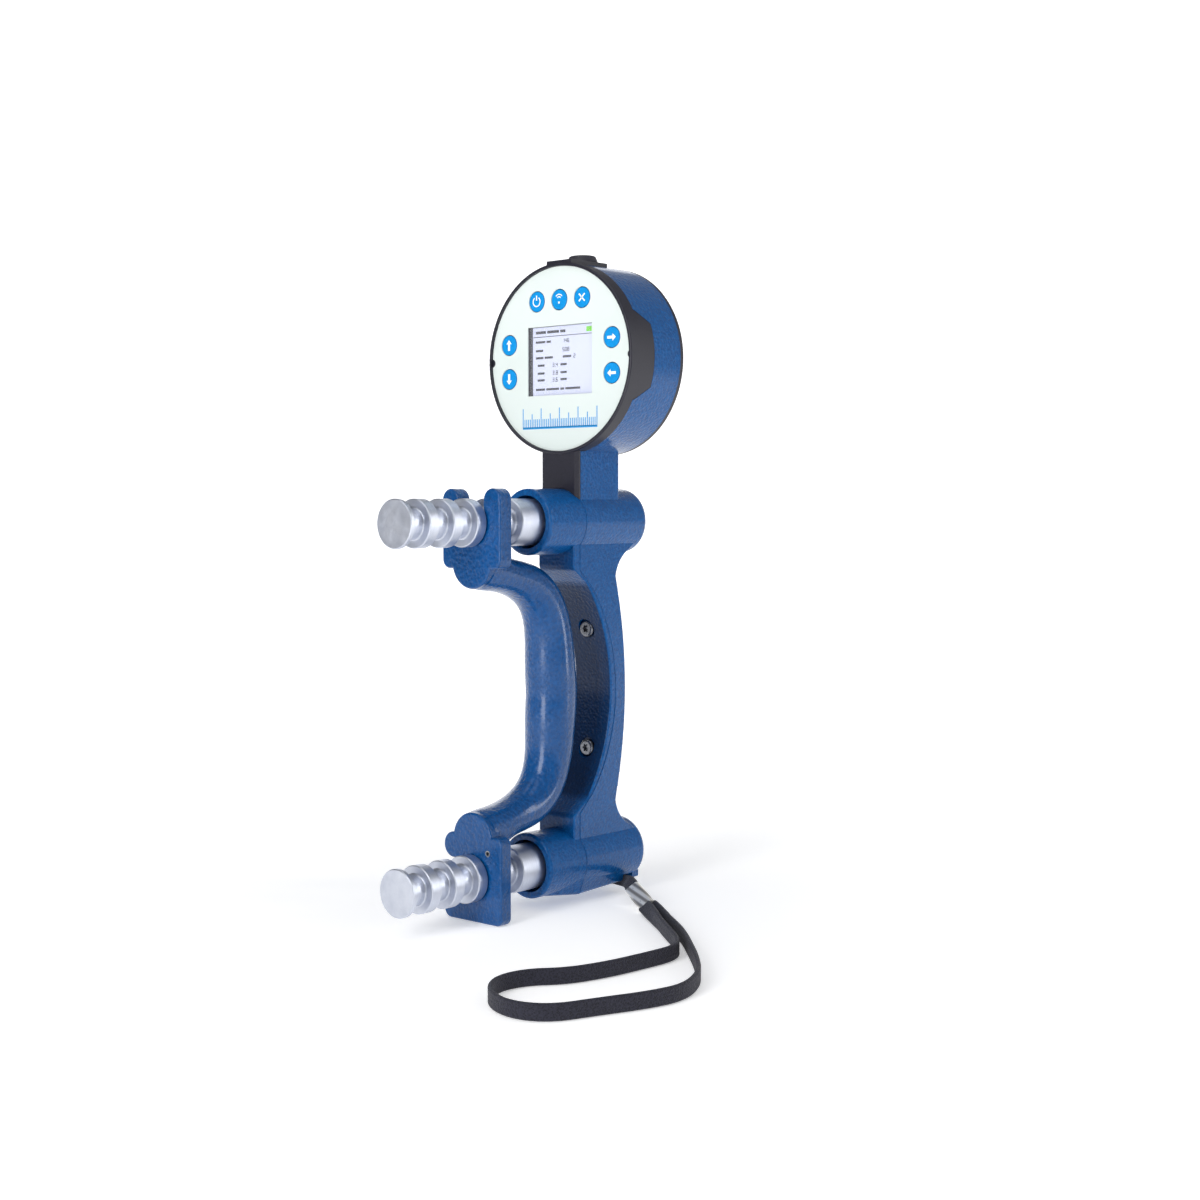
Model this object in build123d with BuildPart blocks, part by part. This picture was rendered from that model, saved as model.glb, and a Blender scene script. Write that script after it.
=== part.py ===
from build123d import *
import os
from math import cos, pi, radians, sin, tan

# Electronic hand dynamometer, in millimetres. +Z is up, the gauge and the free
# ends of the two grip posts face -Y, and the origin is on the ground under the
# middle of the instrument. The body is two castings that meet on a seam; the
# adjustable handle hangs in one of five grooves turned in each post.

os.makedirs("parts", exist_ok=True)

# ------------------------------------------------------------ driving dimensions
# Levels
LOWER_POST_Z = 17.5
POST_SPACING = 138.9
UPPER_POST_Z = LOWER_POST_Z + POST_SPACING
MID_Z = LOWER_POST_Z + POST_SPACING / 2
GAUGE_Z = UPPER_POST_Z + 65.9

# Depths are drawn from the upper boss's front face, then moved by this much
DEPTH_SHIFT = 5.1

# Posts: five grip positions, half an inch apart
GRIP_PITCH = 12.7
POST_R = 9.4
CORE_R = 5.9
TIP_Y = -72.0
TIP_WIDTH = 2.1
FIRST_COLLAR_Y = TIP_Y + 9.8
COLLAR_WIDTH = 5.0
COLLARS = 4
ROOT_ROUND = 0.7
RIM_BREAK = 0.35
SLEEVE_Y = FIRST_COLLAR_Y + COLLARS * GRIP_PITCH
FLANGE_R = 11.6
FLANGE_Y = 18.3
SPIGOT_R = 5.0
SPIGOT_END_Y = 30.0

# Castings
SEAM_Y = 22.3
BOSS_R = 13.4
BOSS_FRONT_Y = 0.4
BOSS_BACK_Y = 61.8
LOWER_BACK_Y = 60.9
BORE_R = 10.7
BORE_RIM_ROUND = 1.2
FRONT_KEEL_ROUND = 2.0
SEAM_KEEL_ROUND = 2.6
BACK_KEEL_ROUND = 0.8
WEB_HALF = 9.7
NECK_HALF = 10.0
NECK_BACK_Y = 47.4
BOSS_ROUND = 3.0
SEAM_BREAK = 0.3
WEB_ROUND = 0.7
WEB_TOP_H = POST_SPACING / 2

# Gauge
DRUM_R = 38.5
CAVITY_R = 35.7
DRUM_FRONT_Y = 25.8
DRUM_BACK_Y = 51.0
COVER_BACK_Y = 53.3
BEZEL_FRONT_Y = 19.6
BEZEL_R = 38.6
FACE_R = 37.2
FACE_Y = 20.7
FACE_THICK = 0.5
PANEL_BACK_Y = 23.2
EAR_BACK_Y = 34.2
PAD_TOP_Z = GAUGE_Z + 39.6
PAD_HALF = 6.6
PAD_BACK_Y = 42.9
PORT_Y = 35.0
SCREEN = (34.4, 27.8)
SCREEN_DROP = 0.5

# Keys: name and place across and up from the gauge's centre
KEY_R = 4.05
KEY_TRAVEL = 0.4
KEYS = {
    "key_power": (-12.2, 23.8),
    "key_link": (0.0, 23.8),
    "key_clear": (12.2, 23.8),
    "key_up": (-27.7, 7.0),
    "key_down": (-27.7, -7.0),
    "key_right": (27.7, 7.0),
    "key_left": (27.7, -7.0),
}

# Handle
PLATE_Y = -31.2
PLATE_THICK = 6.0
FORK_THICK = 6.8
PLATE_HALF = 15.6
LOBE_R = 10.5
LOBE_OFFSET = 15.2
SLOT_HALF = 6.7
PRONG_TOP = 13.3
PRONG_ROUND = 4.4
FORK_DROP = 17.8
HOOK_RISE = 17.0
EDGE_R = 0.8
# Stations down the upper half of the bar: y, height above the middle, heading
# below the horizontal, half width across, half depth
BAR_STATIONS = [
    (-28.0, 50.9, 9, 9.8, 7.0),
    (-12.2, 48.4, 12, 9.6, 7.2),
    (-2.2, 45.6, 22, 9.5, 8.0),
    (6.3, 40.3, 44, 9.5, 8.7),
    (11.6, 32.0, 68, 9.6, 9.1),
    (14.1, 19.0, 83, 10.1, 9.9),
]
BAR_MIDDLE = (15.4, 0.0, 90, 10.4, 10.6)

# Screws
CASTING_SCREW_H = 24.9
BOARD_SCREW_XZ = 23.0
COVER_SCREW_R = 31.8

# Wrist strap: flat webbing that stands on its edge on the ground
STRAP_WIDTH = 6.0
STRAP_THICK = 1.7
STRAP_Z = 3.2
FERRULE_START = Vector(28.5, 33.2, 7.4)
FERRULE_END = Vector(42.2, 26.0, 3.0)
FERRULE_SIZE = (6.8, 3.6)
FERRULE_ROLL = 40
STRAP_SLOT_Y = 52.5
STRAP_SLOT_Z = 8.0
TAIL_WIDTH = 4.8
TAIL_THICK = 2.8
# Route of the loop's middle line over the ground, from the ferrule and back
STRAP_ROUTE = [
    (41.2, 25.2),
    (58.0, 11.2),
    (74.5, -3.2),
    (88.5, -14.5),
    (97.5, -26.0),
    (96.5, -44.0),
    (94.6, -62.0),
    (90.0, -78.0),
    (81.0, -88.0),
    (79.5, -102.0),
    (89.0, -115.5),
    (104.0, -121.5),
    (117.0, -116.0),
    (123.0, -99.0),
    (129.5, -83.0),
    (132.5, -67.0),
    (125.0, -49.0),
    (112.0, -33.5),
    (98.5, -19.5),
    (83.0, -4.0),
    (64.5, 10.6),
    (42.8, 27.2),
]


# ------------------------------------------------------------------ small helpers
def facing(y):
    """Plane across the instrument at depth y; sketches on it read x and z."""
    return Plane.XZ.offset(-y)


def export(piece, name):
    """Write one piece, set down with the instrument's middle over the origin."""
    placed = Pos(0, DEPTH_SHIFT, 0) * piece.part
    placed.label = name
    export_step(placed, f"parts/{name}.step")


def corner_radii(points):
    """As large an arc at each corner as its two runs allow."""
    share = 0.45
    radii = []
    for before, here, after in zip(points, points[1:], points[2:]):
        run_in = Vector(*here) - Vector(*before)
        run_out = Vector(*after) - Vector(*here)
        half_turn = radians(run_in.get_angle(run_out)) / 2
        shorter = min(run_in.length, run_out.length)
        radii.append(share * shorter / tan(half_turn))
    return radii


def report_cord(name, piece, path_length, section):
    """Print a cord's length and its volume against section times length."""
    print(f"{name}: length {path_length:.1f}, volume {piece.part.volume:.1f},"
          f" section x length {section * path_length:.1f}")


# --------------------------------------------------------------------- grip posts
def make_post(name, post_z):
    """Turned bar: tip, four collars, plain sleeve, captured flange and spigot."""
    with BuildPart() as post:
        with BuildSketch(Plane.YZ):
            with Locations((TIP_Y, post_z)):
                Rectangle(SPIGOT_END_Y - TIP_Y, SPIGOT_R, align=(Align.MIN, Align.MIN))
                Rectangle(FLANGE_Y - TIP_Y, CORE_R, align=(Align.MIN, Align.MIN))
                Rectangle(TIP_WIDTH, POST_R, align=(Align.MIN, Align.MIN))
            for count in range(COLLARS):
                with Locations((FIRST_COLLAR_Y + count * GRIP_PITCH, post_z)):
                    Rectangle(COLLAR_WIDTH, POST_R, align=(Align.MIN, Align.MIN))
            with Locations((SLEEVE_Y, post_z)):
                Rectangle(FLANGE_Y - SLEEVE_Y, POST_R, align=(Align.MIN, Align.MIN))
            with Locations((FLANGE_Y, post_z)):
                Rectangle(SEAM_Y - FLANGE_Y, FLANGE_R, align=(Align.MIN, Align.MIN))
        revolve(axis=Axis((0, 0, post_z), (0, 1, 0)))
        circles = post.edges().filter_by(GeomType.CIRCLE)
        roots = circles.filter_by(lambda e: abs(e.radius - CORE_R) < 0.01)
        fillet(roots, ROOT_ROUND)
        rims = post.edges().filter_by(GeomType.CIRCLE)
        rims = rims.filter_by(lambda e: abs(e.radius - POST_R) < 0.01 and e.center().Y < SLEEVE_Y + 1)
        chamfer(rims, RIM_BREAK)
    export(post, name)


make_post("upper_post", UPPER_POST_Z)
make_post("lower_post", LOWER_POST_Z)


# --------------------------------------------------------------------- load cell
LOAD_CELL_R = 9.0
LOAD_CELL_FRONT_Y = SEAM_Y + 0.1
LOAD_CELL_BACK_Y = 46.0
WAIST_Y = 34.0
WAIST_WIDTH = 6.0
WAIST_DEPTH = 2.2
SLIP_FIT = 0.03

with BuildPart() as load_cell:
    with BuildSketch(facing(LOAD_CELL_FRONT_Y)):
        with Locations((0, LOWER_POST_Z)):
            Circle(LOAD_CELL_R)
    extrude(amount=-(LOAD_CELL_BACK_Y - LOAD_CELL_FRONT_Y))
    with BuildSketch(facing(LOAD_CELL_FRONT_Y)):
        with Locations((0, LOWER_POST_Z)):
            Circle(SPIGOT_R + SLIP_FIT)
    extrude(amount=-(SPIGOT_END_Y - LOAD_CELL_FRONT_Y + 0.5), mode=Mode.SUBTRACT)
    # Waist ring where the gauges are bonded
    with BuildSketch(facing(WAIST_Y)):
        with Locations((0, LOWER_POST_Z)):
            Circle(LOAD_CELL_R)
            Circle(LOAD_CELL_R - WAIST_DEPTH, mode=Mode.SUBTRACT)
    extrude(amount=-WAIST_WIDTH, mode=Mode.SUBTRACT)
export(load_cell, "load_cell")


# ---------------------------------------------------------------------- castings
# Side profile of the web between the bosses, upper half, mirrored below: depth
# beside the boss, height of the corner, start of the long arc, depth at the middle
FRONT_EDGE = (18.6, 50.3, (27.0, 44.3), 41.8)
SEAM_EDGE = (SEAM_Y, 49.6, (29.6, 42.8), 44.9)
BACK_ARC = ((45.2, 46.8), 51.4)
BACK_SWEEP = ((47.9, 52.9), (54.0, 57.7), (59.6, 61.3))
PROFILE_GAP = 0.1
EDGE_ROUNDS = (3.0, 9.0)
# Keel under the lower boss, as half width and depth below the post's axis: its
# shoulder on the boss, then its lower corner at the front, seam and back
KEEL_SHOULDER = (12.6, 4.2)
KEEL_FRONT = (5.0, 12.1)
KEEL_SEAM = (9.2, 14.0)
KEEL_BACK = (9.7, 11.8)
KEEL_BACK_SHOULDER = (9.75, 8.8)
KEEL_BACK_Y = 59.8


def curved_edge(edge, shift=0.0):
    """Front or seam edge of the web, drawn from the lower boss to the upper."""
    boss_y, corner_h, (arc_y, arc_h), middle_y = edge
    low = [(boss_y + shift, MID_Z - h) for h in (WEB_TOP_H, corner_h)]
    high = [(boss_y + shift, MID_Z + h) for h in (corner_h, WEB_TOP_H)]
    start = (arc_y + shift, MID_Z - arc_h)
    end = (arc_y + shift, MID_Z + arc_h)
    Polyline(*low, start)
    ThreePointArc(start, (middle_y + shift, MID_Z), end)
    Polyline(end, *high)
    return low[0], high[-1]


def soften(sketch, spots):
    """Round the sketch's corner nearest each (place, place, radius)."""
    for across, up, radius in spots:
        corner = sketch.vertices().sort_by_distance((across, up, 0))[0]
        fillet(corner, radius)


def edge_corners(edge, shift):
    """The four corners of a curved edge with their rounding."""
    corner_round, arc_round = EDGE_ROUNDS
    boss_y, corner_h, (arc_y, arc_h), _ = edge
    spots = []
    for side in (-1, 1):
        spots.append((boss_y + shift, MID_Z + side * corner_h, corner_round))
        spots.append((arc_y + shift, MID_Z + side * arc_h, arc_round))
    return spots


def web_rims(web, side):
    """Edges of the web's sides along its front face, side -1, or its back face, side 1."""
    across = web.faces().filter_by(lambda f: side * f.normal_at().Y > 0.3)
    return across.edges().filter_by(lambda e: abs(abs(e.center().X) - WEB_HALF) < 0.01)


def keel_section(y, corner, round_r, on_boss=KEEL_SHOULDER):
    """Section of the keel across the instrument at depth y."""
    half, drop = corner
    shoulder, shoulder_drop = on_boss
    outline = [(-shoulder, -shoulder_drop), (-half, -drop), (half, -drop), (shoulder, -shoulder_drop)]
    with BuildSketch(facing(y)) as section:
        with Locations((0, LOWER_POST_Z)):
            Polygon(*outline, align=None)
        lower_corners = section.vertices().group_by(Axis.Y)[0]
        fillet(lower_corners, round_r)
    return section.sketch


def shrunk(corner):
    """The keel's lower corner drawn in by the broken edge at the seam."""
    return (corner[0] - SEAM_BREAK, corner[1] - SEAM_BREAK)


CASTING_SCREWS = [(0, MID_Z - CASTING_SCREW_H), (0, MID_Z + CASTING_SCREW_H)]
CASTING_SEAT_Y = 38.9
CASTING_HEAD_R = 3.5
CASTING_SHANK_R = 1.95
CASTING_SCREW_END_Y = 47.4
CASTING_HEAD_H = 2.0
STAR_R = 1.25
STAR_POINT_R = 0.45
STAR_DEPTH = 1.3
HEAD_CLEARANCE = 0.6

with BuildPart() as casting_screws:
    with BuildSketch(facing(CASTING_SEAT_Y)):
        with Locations(*CASTING_SCREWS):
            Circle(CASTING_HEAD_R)
    extrude(amount=CASTING_HEAD_H)
    head_rims = casting_screws.faces().group_by(Axis.Y)[0].edges()
    fillet(head_rims, 1.0)
    with BuildSketch(facing(CASTING_SEAT_Y)):
        with Locations(*CASTING_SCREWS):
            Circle(CASTING_SHANK_R)
    extrude(amount=-(CASTING_SCREW_END_Y - CASTING_SEAT_Y))
    with BuildSketch(facing(CASTING_SEAT_Y - CASTING_HEAD_H)):
        with Locations(*CASTING_SCREWS):
            Circle(STAR_R)
            with PolarLocations(STAR_R, 6):
                Circle(STAR_POINT_R)
    extrude(amount=-STAR_DEPTH, mode=Mode.SUBTRACT)
export(casting_screws, "casting_screws")


with BuildPart() as front_casting:
    with BuildSketch(Plane.YZ) as front_profile:
        with BuildLine():
            front_low, front_high = curved_edge(FRONT_EDGE)
            seam_low, seam_high = curved_edge(SEAM_EDGE, -PROFILE_GAP)
            Line(front_low, seam_low)
            Line(front_high, seam_high)
        make_face()
        soften(front_profile, edge_corners(FRONT_EDGE, 0.0))
        soften(front_profile, edge_corners(SEAM_EDGE, -PROFILE_GAP))
    extrude(amount=WEB_HALF, both=True)
    fillet(web_rims(front_casting, -1), WEB_ROUND)
    chamfer(web_rims(front_casting, 1), SEAM_BREAK)
    # Bosses, with a broken edge at the seam
    seam_face = SEAM_Y - PROFILE_GAP
    for post_z in (LOWER_POST_Z, UPPER_POST_Z):
        with BuildSketch(facing(BOSS_FRONT_Y)):
            with Locations((0, post_z)):
                Circle(BOSS_R)
        extrude(amount=-(seam_face - SEAM_BREAK - BOSS_FRONT_Y))
        with BuildSketch(facing(seam_face - SEAM_BREAK)):
            with Locations((0, post_z)):
                Circle(BOSS_R)
        extrude(amount=-SEAM_BREAK, taper=45)
    rims = front_casting.faces().filter_by(Axis.Y).sort_by(Axis.Y)[:2].edges()
    fillet(rims.filter_by(GeomType.CIRCLE), BORE_RIM_ROUND)
    # Keel that grows from the lower boss towards the seam
    front_end = keel_section(BOSS_FRONT_Y + BORE_RIM_ROUND, KEEL_FRONT, FRONT_KEEL_ROUND)
    seam_end = keel_section(seam_face - SEAM_BREAK, KEEL_SEAM, SEAM_KEEL_ROUND)
    loft([front_end, seam_end])
    loft([seam_end, keel_section(seam_face, shrunk(KEEL_SEAM), SEAM_KEEL_ROUND - 0.2)])
    for post_z in (LOWER_POST_Z, UPPER_POST_Z):
        with BuildSketch(facing(BOSS_FRONT_Y)):
            with Locations((0, post_z)):
                Circle(BORE_R)
        extrude(amount=-(FLANGE_Y - BOSS_FRONT_Y), mode=Mode.SUBTRACT)
        with BuildSketch(facing(FLANGE_Y)):
            with Locations((0, post_z)):
                Circle(FLANGE_R + 0.05)
        extrude(amount=-(SEAM_Y - FLANGE_Y), mode=Mode.SUBTRACT)
    with BuildSketch(facing(30.0)):
        with Locations(*CASTING_SCREWS):
            Circle(CASTING_HEAD_R + HEAD_CLEARANCE)
    extrude(amount=-(CASTING_SEAT_Y - 30.0), mode=Mode.SUBTRACT)
    with BuildSketch(facing(CASTING_SEAT_Y)):
        with Locations(*CASTING_SCREWS):
            Circle(CASTING_SHANK_R + 0.25)
    extrude(amount=-4.0, mode=Mode.SUBTRACT)
export(front_casting, "front_casting")


# Outline of a side ear in depth and height about the gauge's centre
EAR_OUTLINE = [(DRUM_FRONT_Y - 2, -17.5), (DRUM_FRONT_Y + 0.6, -17.5), (EAR_BACK_Y, -12.4)]
EAR_FIT = 0.15


def ear_face(grow):
    """Chamfered ear seen from the side, centred on the gauge."""
    with BuildSketch(Plane.YZ) as ear:
        corners = [(y + grow * (y > DRUM_FRONT_Y), GAUGE_Z + z - grow) for y, z in EAR_OUTLINE]
        mirrored = [(y, 2 * GAUGE_Z - z) for y, z in reversed(corners)]
        Polygon(*corners, *mirrored, align=None)
    return ear.sketch


LEAD_X = 5.6
LEAD_R = 1.2
CHANNEL_R = 1.9
LEAD_ROUTE = [
    (LEAD_X, 38.0, 26.4),
    (LEAD_X, 36.8, 40.0),
    (LEAD_X, 43.6, 60.0),
    (LEAD_X, 47.6, 86.0),
    (LEAD_X, 43.6, 112.0),
    (LEAD_X, 37.0, 134.0),
    (LEAD_X, 38.4, 156.0),
    (LEAD_X, 36.0, 176.0),
    (LEAD_X, 35.0, 192.0),
]


lead_line = FilletPolyline(*LEAD_ROUTE, radius=corner_radii(LEAD_ROUTE))


STRAP_SLOT_LEFT = -3.5
STRAP_SLOT_WIDTH = 6.4
STRAP_PIN_R = 1.25
STRAP_PIN_TOP_Z = 13.0
STRAP_PIN_BASE_Z = 2.2
COVER_BOSS_R = 3.2
COVER_BOSS_Y = 42.0
COVER_BOSS_END_Y = 49.0
COVER_SCREW_START = 45
COVER_SHANK_R = 1.25

with BuildPart() as rear_casting:
    # Bosses with round backs and a broken edge at the seam
    for post_z, back_y in ((LOWER_POST_Z, LOWER_BACK_Y), (UPPER_POST_Z, BOSS_BACK_Y)):
        with BuildSketch(facing(SEAM_Y + SEAM_BREAK)):
            with Locations((0, post_z)):
                Circle(BOSS_R)
        extrude(amount=-(back_y - SEAM_Y - SEAM_BREAK))
        fillet(rear_casting.faces().sort_by(Axis.Y)[-1].edges(), BOSS_ROUND)
        with BuildSketch(facing(SEAM_Y + SEAM_BREAK)):
            with Locations((0, post_z)):
                Circle(BOSS_R)
        extrude(amount=SEAM_BREAK, taper=45)
    # Web behind the seam, swept out to the bosses at the back
    with BuildPart(mode=Mode.PRIVATE) as rear_web:
        with BuildSketch(Plane.YZ) as rear_profile:
            with BuildLine():
                (arc_y, arc_h), middle_y = BACK_ARC
                (sweep_y, sweep_h), (ramp_y, ramp_h), (out_y, out_h) = BACK_SWEEP
                seam_low, seam_high = curved_edge(SEAM_EDGE)
                for side, seam_end in ((-1, seam_low), (1, seam_high)):
                    arc_end = (arc_y, MID_Z + side * arc_h)
                    ramp_start = (ramp_y, MID_Z + side * ramp_h)
                    ramp_end = (out_y, MID_Z + side * out_h)
                    ThreePointArc(arc_end, (sweep_y, MID_Z + side * sweep_h), ramp_start)
                    Polyline(ramp_start, ramp_end, (out_y, seam_end[1]), seam_end)
                ThreePointArc((arc_y, MID_Z - arc_h), (middle_y, MID_Z), (arc_y, MID_Z + arc_h))
            make_face()
            soften(rear_profile, edge_corners(SEAM_EDGE, 0.0))
        extrude(amount=WEB_HALF, both=True)
        chamfer(web_rims(rear_web, -1), SEAM_BREAK)
        fillet(web_rims(rear_web, 1), WEB_ROUND)
    add(rear_web.part)
    # Keel under the lower boss
    seam_end = keel_section(SEAM_Y + SEAM_BREAK, KEEL_SEAM, SEAM_KEEL_ROUND)
    loft([keel_section(SEAM_Y, shrunk(KEEL_SEAM), SEAM_KEEL_ROUND - 0.2), seam_end])
    back_end = keel_section(KEEL_BACK_Y, KEEL_BACK, BACK_KEEL_ROUND, KEEL_BACK_SHOULDER)
    loft([seam_end, back_end])
    # Neck
    with BuildSketch(Plane.XY.offset(UPPER_POST_Z)) as neck:
        with Locations((0, SEAM_Y)):
            Rectangle(2 * NECK_HALF, NECK_BACK_Y - SEAM_Y, align=(Align.CENTER, Align.MIN))
        soften(neck, [(side * NECK_HALF, NECK_BACK_Y, 2.0) for side in (-1, 1)])
    extrude(amount=GAUGE_Z - 36.0 - UPPER_POST_Z)
    with BuildSketch(facing(SEAM_Y - 1)):
        with Locations((0, GAUGE_Z)):
            Circle(BEZEL_R + 0.15)
    extrude(amount=-(DRUM_FRONT_Y - SEAM_Y + 1), mode=Mode.SUBTRACT)
    # Drum
    with BuildSketch(facing(DRUM_FRONT_Y)):
        with Locations((0, GAUGE_Z)):
            Circle(DRUM_R)
    extrude(amount=-(DRUM_BACK_Y - DRUM_FRONT_Y))
    with BuildSketch(facing(DRUM_FRONT_Y)):
        with Locations((0, GAUGE_Z)):
            Circle(CAVITY_R)
    extrude(amount=-(DRUM_BACK_Y - DRUM_FRONT_Y), mode=Mode.SUBTRACT)
    with BuildSketch(facing(COVER_BOSS_Y)):
        with Locations((0, GAUGE_Z)):
            with PolarLocations(COVER_SCREW_R + 0.9, 4, start_angle=COVER_SCREW_START):
                Circle(COVER_BOSS_R)
    extrude(amount=-(COVER_BOSS_END_Y - COVER_BOSS_Y))
    with BuildSketch(facing(COVER_BOSS_Y)):
        with Locations((0, GAUGE_Z)):
            with PolarLocations(COVER_SCREW_R, 4, start_angle=COVER_SCREW_START):
                Circle(COVER_SHANK_R)
    extrude(amount=-(COVER_BOSS_END_Y - COVER_BOSS_Y), mode=Mode.SUBTRACT)
    # Cut-outs for the bezel's ears and the port pad
    extrude(ear_face(EAR_FIT), amount=60, both=True, mode=Mode.SUBTRACT)
    with BuildSketch(Plane.XY.offset(GAUGE_Z + 30)):
        with Locations((0, DRUM_FRONT_Y - 1)):
            pad_depth = PAD_BACK_Y - DRUM_FRONT_Y + 1
            Rectangle(2 * (PAD_HALF + EAR_FIT), pad_depth + EAR_FIT, align=(Align.CENTER, Align.MIN))
    extrude(amount=12, mode=Mode.SUBTRACT)
    # Sockets for the posts, the load cell, the screws and the strap's pin
    with BuildSketch(facing(SEAM_Y)):
        with Locations((0, UPPER_POST_Z)):
            Circle(SPIGOT_R + SLIP_FIT)
    extrude(amount=-(SPIGOT_END_Y - SEAM_Y + 0.5), mode=Mode.SUBTRACT)
    with BuildSketch(facing(SEAM_Y)):
        with Locations((0, LOWER_POST_Z)):
            Circle(LOAD_CELL_R + 0.05)
    extrude(amount=-(LOAD_CELL_BACK_Y - SEAM_Y + 0.1), mode=Mode.SUBTRACT)
    with BuildSketch(facing(SEAM_Y)):
        with Locations(*CASTING_SCREWS):
            Circle(CASTING_SHANK_R + 0.05)
    extrude(amount=-(CASTING_SCREW_END_Y + 0.3 - SEAM_Y), mode=Mode.SUBTRACT)
    with BuildSketch(facing(SEAM_Y)):
        with Locations(*CASTING_SCREWS):
            Circle(CASTING_HEAD_R + HEAD_CLEARANCE)
    extrude(amount=-(CASTING_SEAT_Y - SEAM_Y), mode=Mode.SUBTRACT)
    with BuildSketch(Plane.XY):
        with Locations((STRAP_SLOT_LEFT, STRAP_SLOT_Y)):
            Rectangle(BOSS_R - STRAP_SLOT_LEFT, STRAP_SLOT_WIDTH, align=(Align.MIN, Align.CENTER))
    extrude(amount=STRAP_SLOT_Z, mode=Mode.SUBTRACT)
    with BuildSketch(Plane.XY):
        with Locations((0, STRAP_SLOT_Y)):
            Circle(STRAP_PIN_R)
    extrude(amount=STRAP_PIN_TOP_Z, mode=Mode.SUBTRACT)
    # Channel for the load cell's lead
    with BuildSketch(Plane(origin=lead_line @ 0, z_dir=lead_line % 0)):
        Circle(CHANNEL_R)
    sweep(path=lead_line, mode=Mode.SUBTRACT)
export(rear_casting, "rear_casting")


with BuildPart() as sensor_lead:
    with BuildSketch(Plane(origin=lead_line @ 0, z_dir=lead_line % 0)):
        Circle(LEAD_R)
    sweep(path=lead_line)
export(sensor_lead, "sensor_lead")
report_cord("sensor_lead", sensor_lead, lead_line.length, pi * LEAD_R**2)


with BuildPart() as strap_pin:
    with BuildSketch(Plane.XY.offset(STRAP_PIN_BASE_Z)):
        with Locations((0, STRAP_SLOT_Y)):
            Circle(STRAP_PIN_R)
    extrude(amount=STRAP_PIN_TOP_Z - 0.1 - STRAP_PIN_BASE_Z)
export(strap_pin, "strap_pin")


# --------------------------------------------------------------------- gauge case
KEY_PLACES = [(x, GAUGE_Z + z) for x, z in KEYS.values()]
BOARD_SPOTS = (-BOARD_SCREW_XZ, BOARD_SCREW_XZ)
BOARD_POSTS = [(x, GAUGE_Z + z) for x in BOARD_SPOTS for z in BOARD_SPOTS]
SCREEN_Z = GAUGE_Z - SCREEN_DROP
PANEL_Y = FACE_Y + FACE_THICK
KEY_WELL_Y = 22.75
KEY_GAP = 0.3
KEY_STEM_R = 2.0
BOARD_POST_R = 2.6
MAIN_BOARD_Y = 30.0
MAIN_BOARD_BACK_Y = 31.6
NECK_STRIP_Y = 20.0
PORT_SIZE = (9.4, 3.6)

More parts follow.
